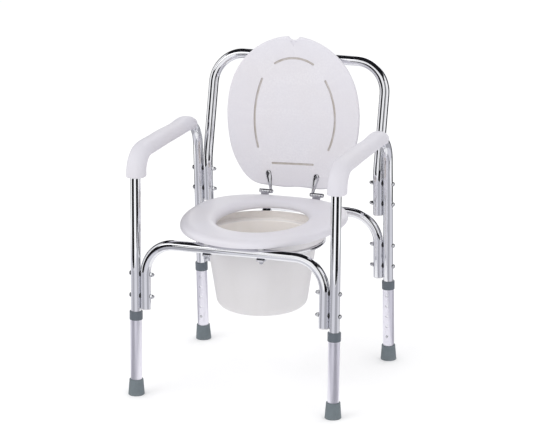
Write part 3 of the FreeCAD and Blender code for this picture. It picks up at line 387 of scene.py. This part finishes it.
def lid_strap(side, sx):
    """Pressed strap: a teardrop leaf with rolled-over edges and a raised neck, and its barrel."""
    a, c = Vector((56.3, 0.0)), Vector((65.2, 46.0))
    d = (c - a).normalized()
    nrm = Vector((-d.y, d.x))
    L = (c - a).length
    bm = bmesh.new()
    stations = [3.0, 5.0, 8.0, 12.0, 17.0, 22.0, 27.0, 32.0, 36.0, 40.0, 43.0, 46.0, 48.5, 50.5, 52.2, 53.6, 54.6, 55.2]
    cols = [-1.0, -0.93, -0.8, -0.6, -0.35, 0.0, 0.35, 0.6, 0.8, 0.93, 1.0]
    rings = []
    for s in stations:
        w = 3.3 + (8.6 * 0.97 - 3.3) * min(1.0, s / (L - 6)) ** 1.15
        if s > L - 6:
            w = min(w, math.sqrt(max(8.6**2 - (s - L) ** 2, 0.02)))
        dome = 0.95 * math.sin(math.pi * min(1.0, max(0.0, (s - 2.0) / 36.0)))
        top, low = [], []
        for v in cols:
            p = a + d * s + nrm * (w * v)
            z = -0.50 - 2.1 * abs(v) ** 3.2 + dome * (1 - v * v)
            top.append(Vector((sx * p.x, p.y, z)))
        for v in (1.0, 0.5, -0.5, -1.0):
            p = a + d * s + nrm * (w * v * 0.995)
            low.append(Vector((sx * p.x, p.y, -2.86)))
        rings.append(top + low)
    loft(bm, rings, caps=True)
    # barrel round the pin, its ends eased
    prof = [(53.0, 4.0), (53.0, 4.9), (53.4, 5.35), (54.4, 5.5), (58.2, 5.5), (59.2, 5.35), (59.6, 4.9), (59.6, 4.0), (58.0, 2.9), (54.6, 2.9)]
    rings = []
    for j in range(28):
        t = 2 * math.pi * j / 28
        rings.append([Vector((sx * x, r * math.cos(t), r * math.sin(t))) for x, r in prof])
    loft(bm, rings, closed_rings=True, closed_loop=True)
    return piece(f"lid_strap_{side}_pressed", bm, "lid", "hinge_metal", f"lid_strap_{side}", matrix=LID_M @ Matrix.Scale(0.001, 4))


for side, sx in (("left", -1), ("right", 1)):
    lid_strap(side, sx)


# ------------------------------------------------------------------ leaf springs, split one per leg
def leaf_spring(leg, sx, sy):
    src = frame["nodes"]["button_springs"].data
    keep = [p for p in src.polygons if p.center.x * sx > 0 and (p.center.y - YO) * sy > 0]
    used = sorted({v for p in keep for v in p.vertices})
    new_index = {v: i for i, v in enumerate(used)}
    me = bpy.data.meshes.new(f"leaf_spring_{leg}")
    me.from_pydata([src.vertices[v].co.copy() for v in used], [], [[new_index[v] for v in p.vertices] for p in keep])
    me.materials.append(M["spring_steel"])
    o = bpy.data.objects.new(f"leaf_spring_{leg}", me)
    bpy.context.scene.collection.objects.link(o)
    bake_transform(o)
    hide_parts("button_springs")


for leg, sx, sy in (("front_left", -1, -1), ("front_right", 1, -1), ("rear_left", -1, 1), ("rear_right", 1, 1)):
    leaf_spring(leg, sx, sy)


# ------------------------------------------------------------------ camera
AZ, EL, ROLL = math.radians(19.99), math.radians(15.881), math.radians(-0.312)
back = Vector((math.sin(AZ) * math.cos(EL), -math.cos(AZ) * math.cos(EL), math.sin(EL)))
right = Vector((math.cos(AZ), math.sin(AZ), 0))
up = back.cross(right)
r2 = right * math.cos(ROLL) + up * math.sin(ROLL)
u2 = up * math.cos(ROLL) - right * math.sin(ROLL)
eye = Vector((0.007343, YO, 0.407698)) + back * 5.832622
cam = bpy.data.cameras.new("camera")
cam.sensor_fit = "HORIZONTAL"
cam.sensor_width = 36.0
cam.lens = 157.26
cam.shift_x, cam.shift_y = -0.5 / 533, 0.5 / 533
cam.clip_end = 60
cam_ob = bpy.data.objects.new("camera", cam)
cam_ob.matrix_world = Matrix(((r2.x, u2.x, back.x, eye.x), (r2.y, u2.y, back.y, eye.y), (r2.z, u2.z, back.z, eye.z), (0, 0, 0, 1)))
bpy.context.scene.collection.objects.link(cam_ob)
bpy.context.scene.camera = cam_ob


# ------------------------------------------------------------------ studio
def plane(name, pts, mat):
    me = bpy.data.meshes.new(name)
    me.from_pydata([tuple(p) for p in pts], [], [tuple(range(len(pts)))])
    me.materials.append(mat)
    o = bpy.data.objects.new(name, me)
    bpy.context.scene.collection.objects.link(o)
    return o


floor_m = Mat("pale_floor", (0.92, 0.92, 0.925), 0.0, 0.75, Specular_IOR_Level=0.0, Emission_Color=(1.0, 1.0, 1.0, 1.0), Emission_Strength=0.10)
floor_m.to(floor_m.b.inputs["Base Color"], floor_m.mix(floor_m.span(floor_m.noise(1.7, 4), 0.3, 0.7, 0.0, 1.0), (0.92, 0.92, 0.925), (0.905, 0.905, 0.91)))
ring = [(9 * math.cos(2 * math.pi * k / 96), 9 * math.sin(2 * math.pi * k / 96), 0) for k in range(96)]
plane("floor", ring, floor_m.m)

# cards seen only in reflections give plated tube its dark core line, dark upper band and grey foot
black = Mat("black_card", (0.012, 0.012, 0.014), 0.0, 0.9, Specular_IOR_Level=0.0).m
grey = Mat("grey_card", (0.66, 0.66, 0.70), 0.0, 0.9, Specular_IOR_Level=0.0).m
dim = Mat("dim_card", (0.40, 0.40, 0.43), 0.0, 0.9, Specular_IOR_Level=0.0).m


def sector(mid, half, r0, r1, z, n=10):
    ang = [mid + half * (2 * i / n - 1) for i in range(n + 1)]
    pts = [(r0 * math.cos(t), r0 * math.sin(t), z) for t in ang]
    return pts + [(r1 * math.cos(t), r1 * math.sin(t), z) for t in reversed(ang)]


cards = []
CAM_AZ = math.radians(-90 + 19.99)
for k in range(4):
    mid = CAM_AZ + math.radians(29 + 90 * k)
    cards.append(plane(f"floor_card_{k}", sector(mid, math.radians(25), 1.75, 8.6, 0.006), black))
    cards.append(plane(f"foot_card_{k}", sector(mid, math.radians(21), 0.42, 1.74, 0.005), dim))
    cards.append(plane(f"step_card_{k}", sector(mid + math.radians(45), math.radians(23.9), 0.42, 1.74, 0.004), grey))
# the same four dark strips carried up the walls, for tubes that lean or bend
for k in range(4):
    mid = CAM_AZ + math.radians(27 + 90 * k)
    low = sector(mid, math.radians(21), 8.7, 8.75, 0.0)[:11]
    cards.append(plane(f"wall_card_{k}", low + [(x, y, 13.0) for x, y, z in reversed(low)], black))
cards.append(plane("roof_card", sector(0, math.pi - 0.001, 0.02, 2.9, 3.1, 48), black))
for o in cards:
    o.visible_camera = False
    o.visible_diffuse = False
    o.visible_shadow = False
    o.visible_transmission = False
    o.visible_volume_scatter = False

world = bpy.data.worlds.new("studio")
bpy.context.scene.world = world
world.use_nodes = True
wt = world.node_tree
bg = wt.nodes["Background"]
bg.inputs["Color"].default_value = (1, 1, 1, 1)
bg.inputs["Strength"].default_value = 1.0


def lamp(name, at, aim, size, power, color=(1, 1, 1)):
    l = bpy.data.lights.new(name, "AREA")
    l.shape = "RECTANGLE"
    l.size, l.size_y = size
    l.energy = power
    l.color = color
    o = bpy.data.objects.new(name, l)
    o.location = at
    o.rotation_euler = (Vector(aim) - Vector(at)).to_track_quat("-Z", "Y").to_euler()
    o.visible_camera = False
    bpy.context.scene.collection.objects.link(o)
    return o


lamp("key", (-1.9, -2.3, 2.9), (0, 0, 0.4), (2.2, 2.2), 24)
lamp("fill", (2.9, -1.6, 1.6), (0, 0, 0.4), (2.0, 2.4), 6)
lamp("rim", (0.4, 2.6, 2.4), (0, 0, 0.5), (2.4, 1.6), 8)

bpy.context.scene.view_settings.view_transform = "Standard"
